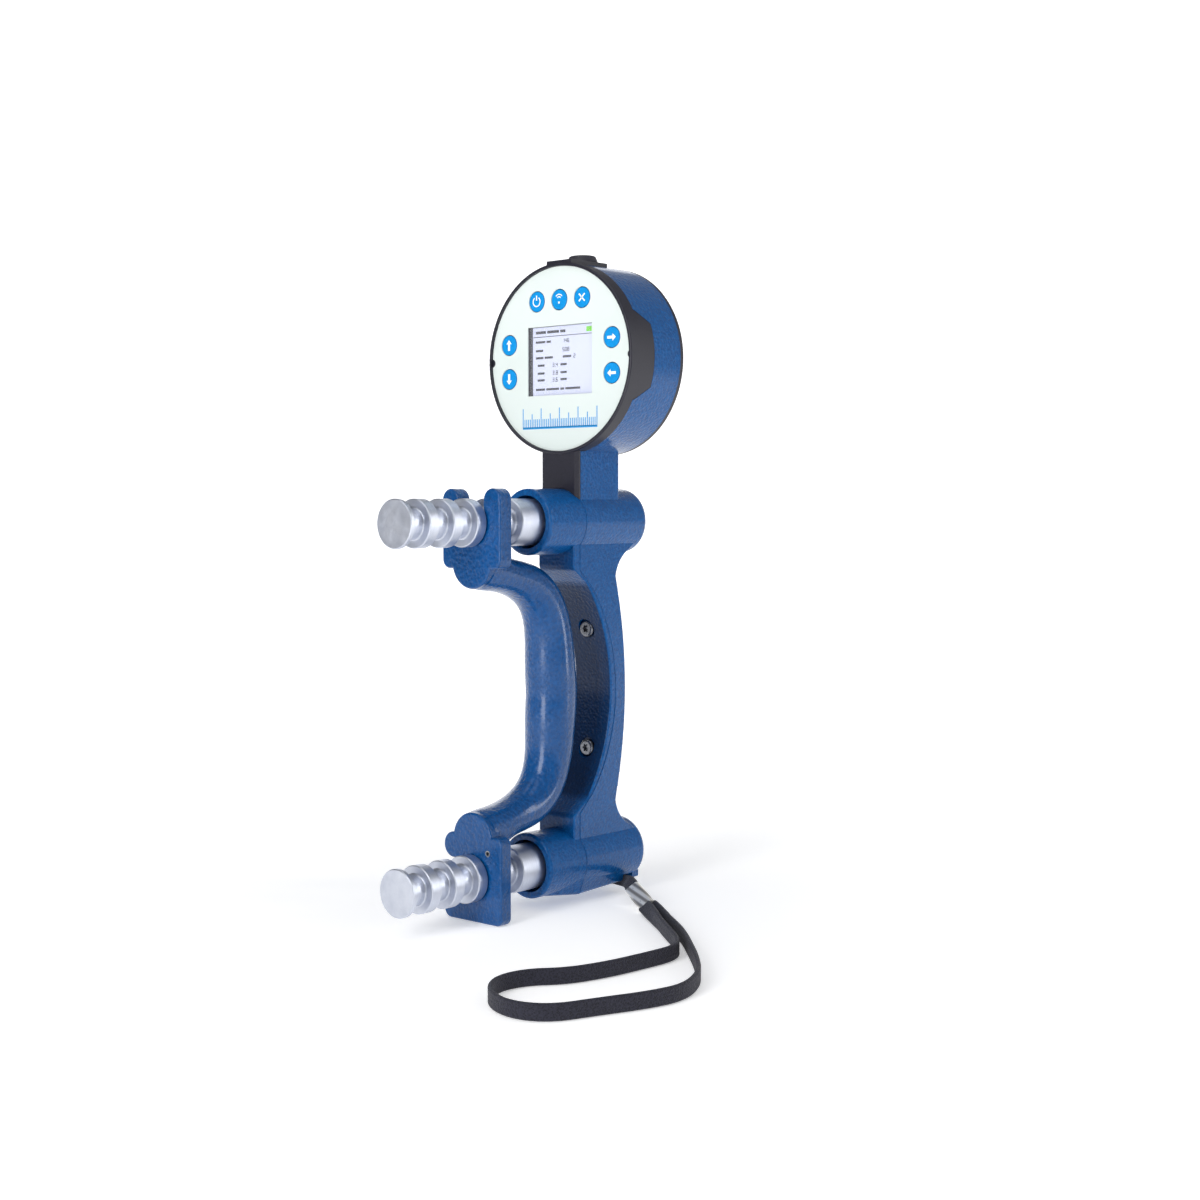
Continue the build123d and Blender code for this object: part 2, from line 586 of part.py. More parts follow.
with BuildPart() as gauge_bezel:
    # Rim, with a slightly raised front band
    with BuildSketch(facing(BEZEL_FRONT_Y)):
        with Locations((0, GAUGE_Z)):
            Circle(BEZEL_R)
    extrude(amount=-(DRUM_FRONT_Y - 0.2 - BEZEL_FRONT_Y))
    fillet(gauge_bezel.faces().sort_by(Axis.Y)[0].edges(), 0.6)
    # Strip down the front of the neck
    with BuildSketch(Plane.XY.offset(UPPER_POST_Z)) as strip:
        with Locations((0, NECK_STRIP_Y)):
            Rectangle(2 * NECK_HALF, SEAM_Y - 0.2 - NECK_STRIP_Y, align=(Align.CENTER, Align.MIN))
        chamfer(strip.vertices().group_by(Axis.Y)[0], 1.4)
    extrude(amount=GAUGE_Z - 37.0 - UPPER_POST_Z)
    with BuildSketch(facing(NECK_STRIP_Y)):
        with Locations((0, UPPER_POST_Z)):
            Circle(BOSS_R + 0.15)
    extrude(amount=-(SEAM_Y - NECK_STRIP_Y), mode=Mode.SUBTRACT)
    # Pad for the charging port on top
    with BuildSketch(Plane.XY.offset(GAUGE_Z + 36.0)):
        with Locations((0, DRUM_FRONT_Y - 1)):
            Rectangle(2 * PAD_HALF, pad_depth, align=(Align.CENTER, Align.MIN))
    extrude(amount=PAD_TOP_Z - GAUGE_Z - 36.0)
    with BuildSketch(Plane.XY.offset(GAUGE_Z + 37.6)):
        with Locations((0, BEZEL_FRONT_Y + 0.8)):
            Rectangle(2 * PAD_HALF, 6.0, align=(Align.CENTER, Align.MIN))
    extrude(amount=PAD_TOP_Z - GAUGE_Z - 37.6)
    # Front recess for the face, then the well behind the panel
    with BuildSketch(facing(BEZEL_FRONT_Y)):
        with Locations((0, GAUGE_Z)):
            Circle(FACE_R + 0.1)
    extrude(amount=-(PANEL_Y - BEZEL_FRONT_Y), mode=Mode.SUBTRACT)
    with BuildSketch(facing(PANEL_BACK_Y)):
        with Locations((0, GAUGE_Z)):
            Circle(CAVITY_R + 0.2)
    extrude(amount=-(DRUM_FRONT_Y - PANEL_BACK_Y), mode=Mode.SUBTRACT)
    # Locating lugs at the sides of the face
    with BuildSketch(facing(FACE_Y)):
        for side in (-1, 1):
            with Locations((side * (FACE_R + 0.2), GAUGE_Z)):
                Circle(1.6)
        with Locations((0, GAUGE_Z)):
            Circle(BEZEL_R - 0.5, mode=Mode.INTERSECT)
    extrude(amount=-FACE_THICK)
    # Ears that wrap on to the drum
    with BuildPart(mode=Mode.PRIVATE) as ears:
        with BuildSketch(facing(DRUM_FRONT_Y - 1)):
            with Locations((0, GAUGE_Z)):
                Circle(DRUM_R)
                Circle(CAVITY_R + 0.2, mode=Mode.SUBTRACT)
        extrude(amount=-(EAR_BACK_Y - DRUM_FRONT_Y + 1))
        extrude(ear_face(0.0), amount=60, both=True, mode=Mode.INTERSECT)
    add(ears.part)
    # Openings in the panel
    with BuildSketch(facing(PANEL_Y)):
        with Locations((0, SCREEN_Z)):
            Rectangle(SCREEN[0] + 0.2, SCREEN[1] + 0.2)
        with Locations(*KEY_PLACES):
            Circle(KEY_STEM_R + KEY_GAP)
    extrude(amount=-(PANEL_BACK_Y - PANEL_Y), mode=Mode.SUBTRACT)
    with BuildSketch(facing(PANEL_Y)):
        with Locations(*KEY_PLACES):
            Circle(KEY_R + KEY_GAP)
    extrude(amount=-(KEY_WELL_Y - PANEL_Y), mode=Mode.SUBTRACT)
    # Posts for the boards
    with BuildSketch(facing(PANEL_BACK_Y)):
        with Locations(*BOARD_POSTS):
            Circle(BOARD_POST_R)
            Circle(1.0, mode=Mode.SUBTRACT)
    extrude(amount=-(MAIN_BOARD_Y - PANEL_BACK_Y))
    # Port opening
    with BuildSketch(Plane.XY.offset(GAUGE_Z + 35)):
        with Locations((0, PORT_Y)):
            Rectangle(*PORT_SIZE)
    extrude(amount=8, mode=Mode.SUBTRACT)
export(gauge_bezel, "gauge_bezel")


with BuildPart() as face_overlay:
    with BuildSketch(facing(FACE_Y)):
        with Locations((0, GAUGE_Z)):
            Circle(FACE_R)
        with Locations(*KEY_PLACES):
            Circle(KEY_R + KEY_GAP, mode=Mode.SUBTRACT)
        with Locations((0, SCREEN_Z)):
            Rectangle(SCREEN[0] + 0.2, SCREEN[1] + 0.2, mode=Mode.SUBTRACT)
        for side in (-1, 1):
            with Locations((side * (FACE_R + 0.2), GAUGE_Z)):
                Circle(1.7, mode=Mode.SUBTRACT)
    extrude(amount=-(FACE_THICK - 0.02))
export(face_overlay, "face_overlay")


with BuildPart() as display_window:
    with BuildSketch(facing(FACE_Y + 0.05)):
        with Locations((0, SCREEN_Z)):
            Rectangle(*SCREEN)
    extrude(amount=-1.4)
export(display_window, "display_window")


with BuildPart() as lcd_module:
    with BuildSketch(facing(FACE_Y + 1.5)):
        with Locations((0, SCREEN_Z)):
            Rectangle(SCREEN[0], SCREEN[1])
    extrude(amount=-(PANEL_BACK_Y + 0.1 - FACE_Y - 1.5))
    with BuildSketch(facing(PANEL_BACK_Y + 0.1)):
        with Locations((0, SCREEN_Z)):
            Rectangle(40.0, 32.0)
    extrude(amount=-3.0)
export(lcd_module, "lcd_module")


for key_name, (key_x, key_z) in KEYS.items():
    with BuildPart() as key:
        with BuildSketch(facing(FACE_Y - 0.2)):
            with Locations((key_x, GAUGE_Z + key_z)):
                Circle(KEY_R)
        extrude(amount=-1.7)
        fillet(key.faces().sort_by(Axis.Y)[0].edges(), 0.3)
        with BuildSketch(facing(FACE_Y + 1.5)):
            with Locations((key_x, GAUGE_Z + key_z)):
                Circle(KEY_STEM_R)
        extrude(amount=-1.7)
    export(key, key_name)


KEYPAD_Y = 24.8
KEYPAD_BACK_Y = 26.2
KEYPAD_R = 34.5
KEYPAD_OPENING = (41.0, 33.0)
SWITCH_R = 1.7
SWITCH_H = 0.45

with BuildPart() as keypad_board:
    with BuildSketch(facing(KEYPAD_Y)):
        with Locations((0, GAUGE_Z)):
            Circle(KEYPAD_R)
        with Locations((0, SCREEN_Z)):
            Rectangle(*KEYPAD_OPENING, mode=Mode.SUBTRACT)
        with Locations(*BOARD_POSTS):
            Circle(BOARD_POST_R + 0.3, mode=Mode.SUBTRACT)
    extrude(amount=-(KEYPAD_BACK_Y - KEYPAD_Y))
export(keypad_board, "keypad_board")


with BuildPart() as key_switches:
    with BuildSketch(facing(KEYPAD_Y)):
        with Locations(*KEY_PLACES):
            Circle(SWITCH_R)
    extrude(amount=SWITCH_H)
export(key_switches, "key_switches")


with BuildPart() as main_board:
    with BuildSketch(facing(MAIN_BOARD_Y)):
        with Locations((0, GAUGE_Z)):
            Circle(34.2)
        with Locations((LEAD_X, GAUGE_Z - 33.0)):
            Rectangle(6.0, 6.0, mode=Mode.SUBTRACT)
        with Locations(*BOARD_POSTS):
            Circle(1.1, mode=Mode.SUBTRACT)
    extrude(amount=-(MAIN_BOARD_BACK_Y - MAIN_BOARD_Y))
    with BuildSketch(facing(MAIN_BOARD_BACK_Y)):
        with Locations((-14, GAUGE_Z + 16), (12, GAUGE_Z + 17)):
            Rectangle(8.0, 8.0)
        with Locations((LEAD_X, GAUGE_Z - 26.0)):
            Rectangle(7.0, 5.0)
    extrude(amount=-1.2)
export(main_board, "main_board")


with BuildPart() as board_screws:
    with BuildSketch(facing(MAIN_BOARD_BACK_Y)):
        with Locations(*BOARD_POSTS):
            Circle(2.1)
    extrude(amount=-1.4)
    with BuildSketch(facing(26.0)):
        with Locations(*BOARD_POSTS):
            Circle(0.98)
    extrude(amount=-(MAIN_BOARD_BACK_Y - 26.0))
export(board_screws, "board_screws")


with BuildPart() as battery:
    with BuildSketch(facing(34.0)):
        with Locations((0, GAUGE_Z - 4)):
            RectangleRounded(38.0, 26.0, 2.0)
    extrude(amount=-8.0)
    fillet(battery.faces().sort_by(Axis.Y)[0].edges(), 1.0)
export(battery, "battery")


SOCKET_TOP_Z = PAD_TOP_Z - 0.4
SOCKET_BASE_Z = GAUGE_Z + 27.0

with BuildPart() as charge_socket:
    with BuildSketch(Plane.XY.offset(SOCKET_BASE_Z)):
        with Locations((0, PORT_Y)):
            RectangleRounded(9.0, 3.2, 1.4)
    extrude(amount=SOCKET_TOP_Z - SOCKET_BASE_Z)
    with BuildSketch(Plane.XY.offset(SOCKET_TOP_Z - 7)):
        with Locations((0, PORT_Y)):
            RectangleRounded(8.3, 2.5, 1.15)
            Rectangle(6.4, 0.7, mode=Mode.SUBTRACT)
    extrude(amount=7, mode=Mode.SUBTRACT)
    with BuildSketch(Plane.XY.offset(SOCKET_TOP_Z - 1.6)):
        with Locations((0, PORT_Y)):
            Rectangle(8.0, 0.9)
    extrude(amount=1.6, mode=Mode.SUBTRACT)
    with BuildSketch(Plane.XY.offset(SOCKET_BASE_Z)):
        with Locations((0, MAIN_BOARD_BACK_Y)):
            Rectangle(9.0, PORT_Y - MAIN_BOARD_BACK_Y, align=(Align.CENTER, Align.MIN))
    extrude(amount=4)
export(charge_socket, "charge_socket")


COVER_BASE_Z = PAD_TOP_Z + 0.2
COVER_HINGE_Y = PORT_Y + 6.9
COVER_HINGE_Z = COVER_BASE_Z + 0.55

with BuildPart() as port_cover:
    with BuildSketch(Plane.XY.offset(COVER_BASE_Z)):
        with Locations((0, PORT_Y)):
            Circle(6.4)
    extrude(amount=2.6, taper=22)
    top_rim = port_cover.faces().sort_by(Axis.Z)[-1].edges()
    fillet(top_rim, 1.2)
    with BuildSketch(Plane.XY.offset(COVER_BASE_Z + 2.1)):
        with Locations((0, PORT_Y)):
            Circle(2.9)
    extrude(amount=1.0, taper=-20, mode=Mode.SUBTRACT)
    with BuildSketch(Plane.XY.offset(COVER_BASE_Z)):
        with Locations((0, PORT_Y + 3)):
            Rectangle(3.6, COVER_HINGE_Y - PORT_Y - 3, align=(Align.CENTER, Align.MIN))
    extrude(amount=1.1)
    with BuildSketch(Plane.YZ):
        with Locations((COVER_HINGE_Y, COVER_HINGE_Z)):
            Circle(0.55)
    extrude(amount=1.8, both=True)
    with BuildSketch(Plane.XY.offset(COVER_BASE_Z)):
        with Locations((0, PORT_Y)):
            RectangleRounded(7.0, 1.5, 0.7)
    extrude(amount=-1.0)
export(port_cover, "port_cover")


with BuildPart() as rear_cover:
    with BuildSketch(facing(DRUM_BACK_Y)):
        with Locations((0, GAUGE_Z)):
            Circle(DRUM_R)
    extrude(amount=-(COVER_BACK_Y - DRUM_BACK_Y))
    fillet(rear_cover.faces().sort_by(Axis.Y)[-1].edges(), 0.8)
    with BuildSketch(facing(DRUM_BACK_Y - 1.5)):
        with Locations((0, GAUGE_Z)):
            Circle(CAVITY_R - 0.1)
            Circle(CAVITY_R - 1.4, mode=Mode.SUBTRACT)
    extrude(amount=-1.5)
    with BuildSketch(facing(COVER_BOSS_END_Y)):
        with Locations((0, GAUGE_Z)):
            with PolarLocations(COVER_SCREW_R, 4, start_angle=COVER_SCREW_START):
                Circle(COVER_BOSS_R)
    extrude(amount=-(DRUM_BACK_Y - COVER_BOSS_END_Y))
    with BuildSketch(facing(COVER_BOSS_END_Y)):
        with Locations((0, GAUGE_Z)):
            with PolarLocations(COVER_SCREW_R, 4, start_angle=COVER_SCREW_START):
                Circle(COVER_SHANK_R + 0.2)
    extrude(amount=-(COVER_BACK_Y - COVER_BOSS_END_Y), mode=Mode.SUBTRACT)
    with BuildSketch(facing(COVER_BACK_Y - 1.2)):
        with Locations((0, GAUGE_Z)):
            with PolarLocations(COVER_SCREW_R, 4, start_angle=COVER_SCREW_START):
                Circle(2.7)
    extrude(amount=-1.2, mode=Mode.SUBTRACT)
export(rear_cover, "rear_cover")


with BuildPart() as cover_screws:
    with BuildSketch(facing(COVER_BOSS_Y + 1)):
        with Locations((0, GAUGE_Z)):
            with PolarLocations(COVER_SCREW_R, 4, start_angle=COVER_SCREW_START):
                Circle(COVER_SHANK_R)
    extrude(amount=-(COVER_BACK_Y - 1.2 - COVER_BOSS_Y - 1))
    with BuildSketch(facing(COVER_BACK_Y - 1.2)):
        with Locations((0, GAUGE_Z)):
            with PolarLocations(COVER_SCREW_R, 4, start_angle=COVER_SCREW_START):
                Circle(2.5)
    extrude(amount=-1.1)
    with BuildSketch(facing(COVER_BACK_Y - 0.7)):
        with Locations((0, GAUGE_Z)):
            with PolarLocations(COVER_SCREW_R, 4, start_angle=COVER_SCREW_START):
                Rectangle(2.6, 0.6)
                Rectangle(0.6, 2.6)
    extrude(amount=-0.7, mode=Mode.SUBTRACT)
export(cover_screws, "cover_screws")


# ------------------------------------------------------------------------- handle
CLIP_PIN_X = 8.5
CLIP_PIN_Z = LOWER_POST_Z + 10.5
CLIP_PIN_R = 1.25
CLIP_Y = PLATE_Y + PLATE_THICK + 0.1
CLIP_THICK = 0.55


def bar_plane(y, height, heading, side):
    """Plane across the bar; side is 1 on the upper half and -1 on the lower."""
    slope = radians(heading)
    along = (0, side * cos(slope), -sin(slope))
    return Plane(origin=(0, y, MID_Z + side * height), x_dir=(1, 0, 0), z_dir=along)


with BuildPart() as grip_handle:
    # Fork over the upper post
    with BuildSketch(facing(PLATE_Y)) as fork:
        with Locations((0, UPPER_POST_Z)):
            Rectangle(2 * PLATE_HALF, PRONG_TOP, align=(Align.CENTER, Align.MIN))
            Rectangle(2 * PLATE_HALF, FORK_DROP, align=(Align.CENTER, Align.MAX))
            Circle(SLOT_HALF, mode=Mode.SUBTRACT)
            Rectangle(2 * SLOT_HALF, 20, align=(Align.CENTER, Align.MIN), mode=Mode.SUBTRACT)
        for side in (-1, 1):
            soften(fork, [
                (side * PLATE_HALF, UPPER_POST_Z + PRONG_TOP, PRONG_ROUND),
                (side * SLOT_HALF, UPPER_POST_Z + PRONG_TOP, PRONG_ROUND),
                (side * PLATE_HALF, UPPER_POST_Z - FORK_DROP, 3.5),
            ])
        with Locations((0, UPPER_POST_Z - LOBE_OFFSET)):
            Circle(LOBE_R)
        with Locations((0, UPPER_POST_Z)):
            Circle(SLOT_HALF, mode=Mode.SUBTRACT)
    extrude(amount=-FORK_THICK)
    # Hook plate on the lower post, open to one side
    with BuildSketch(facing(PLATE_Y)) as hook:
        with Locations((0, LOWER_POST_Z)):
            Rectangle(2 * PLATE_HALF, HOOK_RISE, align=(Align.CENTER, Align.MIN))
            Rectangle(2 * PLATE_HALF, LOWER_POST_Z, align=(Align.CENTER, Align.MAX))
            Circle(SLOT_HALF, mode=Mode.SUBTRACT)
            Rectangle(20, 2 * SLOT_HALF, align=(Align.MAX, Align.CENTER), mode=Mode.SUBTRACT)
        soften(hook, [
            (-PLATE_HALF, LOWER_POST_Z + HOOK_RISE, 5.0),
            (-PLATE_HALF, LOWER_POST_Z + SLOT_HALF, 5.0),
            (-PLATE_HALF, LOWER_POST_Z - SLOT_HALF, 4.5),
            (-PLATE_HALF, 0, 3.5),
            (PLATE_HALF, 0, 3.0),
            (PLATE_HALF, LOWER_POST_Z + HOOK_RISE, 3.0),
        ])
        with Locations((0, LOWER_POST_Z + LOBE_OFFSET)):
            Circle(LOBE_R)
        with Locations((0, LOWER_POST_Z)):
            Circle(SLOT_HALF, mode=Mode.SUBTRACT)
    extrude(amount=-PLATE_THICK)
    plate_rims = grip_handle.faces().filter_by(Axis.Y).edges()
    fillet(plate_rims, EDGE_R)
    # Curved bar between the plates
    for station in BAR_STATIONS:
        with BuildSketch(bar_plane(*station[:3], 1)):
            Ellipse(station[3], station[4])
    with BuildSketch(bar_plane(*BAR_MIDDLE[:3], 1)):
        Ellipse(BAR_MIDDLE[3], BAR_MIDDLE[4])
    for station in reversed(BAR_STATIONS):
        with BuildSketch(bar_plane(*station[:3], -1)):
            Ellipse(station[3], station[4])
    loft()
    # Hole for the clip's pin
    with BuildSketch(facing(PLATE_Y - 1)):
        with Locations((CLIP_PIN_X, CLIP_PIN_Z)):
            Circle(CLIP_PIN_R)
    extrude(amount=-(PLATE_THICK + 2), mode=Mode.SUBTRACT)
export(grip_handle, "grip_handle")


with BuildPart() as clip_pin:
    with BuildSketch(facing(PLATE_Y - 0.1)):
        with Locations((CLIP_PIN_X, CLIP_PIN_Z)):
            Circle(CLIP_PIN_R)
            Circle(CLIP_PIN_R - 0.5, mode=Mode.SUBTRACT)
    extrude(amount=-(CLIP_Y + CLIP_THICK + 0.1 - PLATE_Y + 0.1))
export(clip_pin, "clip_pin")


# Spring strip behind the hook plate, closing the slot's mouth
with BuildPart() as retaining_clip:
    with BuildSketch(facing(CLIP_Y)):
        with BuildLine():
            strip = FilletPolyline(
                (CLIP_PIN_X, CLIP_PIN_Z),
                (-7.6, LOWER_POST_Z + 8.6),
                (-8.4, LOWER_POST_Z - 1.5),
                radius=3.0,
            )
            offset(strip, amount=1.1, side=Side.BOTH)
        make_face()
        with Locations((CLIP_PIN_X, CLIP_PIN_Z)):
            Circle(2.3)
            Circle(CLIP_PIN_R + 0.02, mode=Mode.SUBTRACT)
    extrude(amount=-CLIP_THICK)
export(retaining_clip, "retaining_clip")


# -------------------------------------------------------------------- wrist strap
TAIL_ROUTE = [
    (1.5, STRAP_SLOT_Y, 4.9),
    (8.0, 52.2, 4.8),
    (14.5, 48.0, 5.6),
    (21.5, 39.5, 7.9),
    tuple(FERRULE_START),
]

with BuildPart() as strap_ferrule:
    ferrule_axis = FERRULE_END - FERRULE_START
    ferrule_side = ferrule_axis.cross(Vector(0, 0, 1))
    with BuildSketch(Plane(origin=FERRULE_START, x_dir=ferrule_side, z_dir=ferrule_axis)):
        RectangleRounded(*FERRULE_SIZE, 1.7, rotation=FERRULE_ROLL)
    extrude(amount=ferrule_axis.length)
    fillet(strap_ferrule.edges().filter_by(lambda e: e.length < ferrule_axis.length), 0.3)
export(strap_ferrule, "strap_ferrule")


tail_radii = corner_radii(TAIL_ROUTE)
tail_line = FilletPolyline(*TAIL_ROUTE, radius=tail_radii)
print("strap_tail radii:", [round(r, 1) for r in tail_radii])

with BuildPart() as strap_tail:
    with BuildSketch(Plane(origin=tail_line @ 0, x_dir=(0, 0, 1), z_dir=tail_line % 0)) as fold:
        RectangleRounded(TAIL_WIDTH, TAIL_THICK, TAIL_THICK * 0.4)
    sweep(path=tail_line)
export(strap_tail, "strap_tail")
report_cord("strap_tail", strap_tail, tail_line.length, fold.sketch.area)


strap_points = [(x, y, STRAP_Z) for x, y in STRAP_ROUTE]
strap_radii = corner_radii(strap_points)
strap_line = FilletPolyline(*strap_points, radius=strap_radii)
print("wrist_strap radii:", [round(r, 1) for r in strap_radii])

with BuildPart() as wrist_strap:
    with BuildSketch(Plane(origin=strap_line @ 0, x_dir=(0, 0, 1), z_dir=strap_line % 0)):
        Rectangle(STRAP_WIDTH, STRAP_THICK)
    sweep(path=strap_line)
export(wrist_strap, "wrist_strap")
report_cord("wrist_strap", wrist_strap, strap_line.length, STRAP_WIDTH * STRAP_THICK)
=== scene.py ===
"""Looks for the hand dynamometer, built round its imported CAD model. Metres."""

import math

import bmesh
import bpy
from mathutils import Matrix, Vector


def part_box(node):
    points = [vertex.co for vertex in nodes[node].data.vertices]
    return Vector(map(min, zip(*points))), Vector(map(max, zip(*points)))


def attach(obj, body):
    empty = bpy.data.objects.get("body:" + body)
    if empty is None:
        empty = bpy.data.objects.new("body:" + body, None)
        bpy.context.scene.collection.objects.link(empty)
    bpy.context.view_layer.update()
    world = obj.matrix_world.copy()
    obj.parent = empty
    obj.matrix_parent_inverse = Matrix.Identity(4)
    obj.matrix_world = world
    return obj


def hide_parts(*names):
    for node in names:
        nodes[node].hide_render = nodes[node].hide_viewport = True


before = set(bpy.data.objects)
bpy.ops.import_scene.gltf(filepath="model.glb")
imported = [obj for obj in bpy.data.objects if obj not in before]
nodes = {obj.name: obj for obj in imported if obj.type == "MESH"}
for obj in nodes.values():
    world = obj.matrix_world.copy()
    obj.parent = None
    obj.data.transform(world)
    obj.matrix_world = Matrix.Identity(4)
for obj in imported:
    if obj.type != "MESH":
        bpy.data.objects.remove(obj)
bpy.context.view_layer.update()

MM = 0.001
INSTRUMENT = "instrument"

# Places that the looks hang on, read from the frame
face_low, face_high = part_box("face_overlay")
FACE_Y = face_low[1]
FACE_Z = (face_low[2] + face_high[2]) / 2
screen_low, screen_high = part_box("display_window")
SCREEN_Z = (screen_low[2] + screen_high[2]) / 2
lcd_low, lcd_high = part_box("lcd_module")


# ------------------------------------------------------------------ small helpers
def srgb(r, g, b, alpha=1.0):
    """Linear colour from 0-255 sRGB values."""
    def linear(v):
        v /= 255
        return v / 12.92 if v <= 0.04045 else ((v + 0.055) / 1.055) ** 2.4
    return (linear(r), linear(g), linear(b), alpha)


class Finish:
    """A node material with one Principled shader and Object coordinates."""

    def __init__(self, name, colour, roughness, metallic=0.0, **sockets):
        self.material = bpy.data.materials.new(name)
        self.material.use_nodes = True
        self.tree = self.material.node_tree
        self.shader = self.tree.nodes["Principled BSDF"]
        self.place = self.add("ShaderNodeTexCoord").outputs["Object"]
        self.set(self.shader, "Base Color", colour)
        self.set(self.shader, "Roughness", roughness)
        self.set(self.shader, "Metallic", metallic)
        for socket, value in sockets.items():
            self.set(self.shader, socket.replace("_", " "), value)

    def add(self, kind, **settings):
        node = self.tree.nodes.new(kind)
        for key, value in settings.items():
            setattr(node, key, value)
        return node

    def set(self, node, socket, value):
        node.inputs[socket].default_value = value

    def link(self, output, node, socket):
        self.tree.links.new(output, node.inputs[socket])

    def noise(self, scale, detail=2.0, rough=0.5, stretch=None):
        """Noise of that many cells a metre."""
        node = self.add("ShaderNodeTexNoise")
        self.set(node, "Scale", scale)
        self.set(node, "Detail", detail)
        self.set(node, "Roughness", rough)
        self.link(self.stretched(stretch), node, "Vector")
        return node.outputs["Fac"]

    def cells(self, scale, smooth=0.6, stretch=None):
        node = self.add("ShaderNodeTexVoronoi", feature="SMOOTH_F1")
        self.set(node, "Scale", scale)
        self.set(node, "Smoothness", smooth)
        self.link(self.stretched(stretch), node, "Vector")
        return node.outputs["Distance"]

    def stretched(self, stretch):
        if stretch is None:
            return self.place
        node = self.add("ShaderNodeMapping")
        self.set(node, "Scale", stretch)
        self.link(self.place, node, "Vector")
        return node.outputs["Vector"]

    def ramp(self, value, *stops):
        """Colour ramp through (place, colour) stops; a plain number is a grey."""
        node = self.add("ShaderNodeValToRGB")
        band = node.color_ramp
        while len(band.elements) < len(stops):
            band.elements.new(0.5)
        for element, (place, colour) in zip(band.elements, stops):
            element.position = place
            element.color = colour if isinstance(colour, tuple) else (colour,) * 3 + (1,)
        self.link(value, node, "Fac")
        return node.outputs["Color"]

    def spread(self, value, low, high, out_low, out_high):
        node = self.add("ShaderNodeMapRange")
        for socket, number in zip(("From Min", "From Max", "To Min", "To Max"),
                                  (low, high, out_low, out_high)):
            self.set(node, socket, number)
        self.link(value, node, "Value")
        return node.outputs["Result"]

    def maths(self, operation, a, b):
        node = self.add("ShaderNodeMath", operation=operation)
        for index, value in enumerate((a, b)):
            if isinstance(value, (int, float)):
                node.inputs[index].default_value = value
            else:
                self.tree.links.new(value, node.inputs[index])
        return node.outputs[0]

    def mix(self, amount, a, b):
        node = self.add("ShaderNodeMix", data_type="RGBA")
        for socket, value in (("Factor", amount), ("A", a), ("B", b)):
            index = {"Factor": 0, "A": 6, "B": 7}[socket]
            if isinstance(value, (tuple, float, int)):
                node.inputs[index].default_value = value
            else:
                self.tree.links.new(value, node.inputs[index])
        return node.outputs[2]

    def axis(self, name, source="Object"):
        node = self.add("ShaderNodeSeparateXYZ")
        self.link(self.place.node.outputs[source], node, "Vector")
        return node.outputs[name]

    def bump(self, height, distance, strength=1.0):
        node = self.add("ShaderNodeBump")
        self.set(node, "Distance", distance)
        self.set(node, "Strength", strength)
        self.link(height, node, "Height")
        self.link(node.outputs["Normal"], self.shader, "Normal")

    def colour(self, output):
        self.link(output, self.shader, "Base Color")

    def roughness(self, output):
        self.link(output, self.shader, "Roughness")


def dress(name, finish):
    """Give a CAD node its finish."""
    mesh = nodes[name].data
    mesh.materials.clear()
    mesh.materials.append(finish.material)


def new_piece(name, mesh_or_bm, finish, body=INSTRUMENT, smooth=False):
    """Object from a bmesh, riding on a body."""
    mesh = bpy.data.meshes.new(name)
    mesh_or_bm.to_mesh(mesh)
    mesh_or_bm.free()
    piece = bpy.data.objects.new(name, mesh)
    bpy.context.scene.collection.objects.link(piece)
    mesh.materials.append(finish.material)
    for polygon in mesh.polygons:
        polygon.use_smooth = smooth
    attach(piece, body)
    return piece


# ----------------------------------------------------------------- camera, lights
camera_data = bpy.data.cameras.new("camera")
camera = bpy.data.objects.new("camera", camera_data)
bpy.context.scene.collection.objects.link(camera)
camera.location = (0.49799, -0.53605, 0.16381)
camera.rotation_euler = (math.radians(86.30), math.radians(0.17), math.radians(43.044))
camera_data.lens = 55.15
camera_data.sensor_width = 36
camera_data.shift_x = 0.0737
camera_data.shift_y = 0.0187
camera_data.clip_start = 0.01
bpy.context.scene.camera = camera


def soft_light(name, place, target, size, power, colour=(1, 1, 1)):
    data = bpy.data.lights.new(name, "AREA")
    data.shape = "RECTANGLE"
    data.size, data.size_y = size
    data.energy = power
    data.color = colour
    light = bpy.data.objects.new(name, data)
    bpy.context.scene.collection.objects.link(light)
    light.location = place
    light.rotation_euler = (Vector(target) - Vector(place)).to_track_quat("-Z", "Y").to_euler()


AIM = (0, 0, 0.13)
soft_light("front_box", (0.17, -1.05, 0.30), AIM, (0.34, 1.0), 9.5)
soft_light("rear_box", (0.88, 0.65, 0.30), AIM, (0.12, 1.0), 3.4)
soft_light("top_box", (0.0, -0.25, 1.20), AIM, (0.9, 0.9), 2.5)

world = bpy.data.worlds.new("studio")
world.use_nodes = True
sky = world.node_tree
sky.nodes["Background"].inputs["Color"].default_value = (0.94, 0.96, 1.0, 1)
# The room is darker to the left of the instrument
toward_left = sky.nodes.new("ShaderNodeVectorMath")
toward_left.operation = "DOT_PRODUCT"
toward_left.inputs[1].default_value = (-0.98, -0.17, 0)
sky.links.new(sky.nodes.new("ShaderNodeTexCoord").outputs["Generated"], toward_left.inputs[0])
fill = sky.nodes.new("ShaderNodeMapRange")
for socket, number in zip(("From Min", "From Max", "To Min", "To Max"), (0.1, 0.8, 0.32, 0.14)):
    fill.inputs[socket].default_value = number
sky.links.new(toward_left.outputs["Value"], fill.inputs["Value"])
sky.links.new(fill.outputs["Result"], sky.nodes["Background"].inputs["Strength"])
bpy.context.scene.world = world
bpy.context.scene.view_settings.view_transform = "Standard"


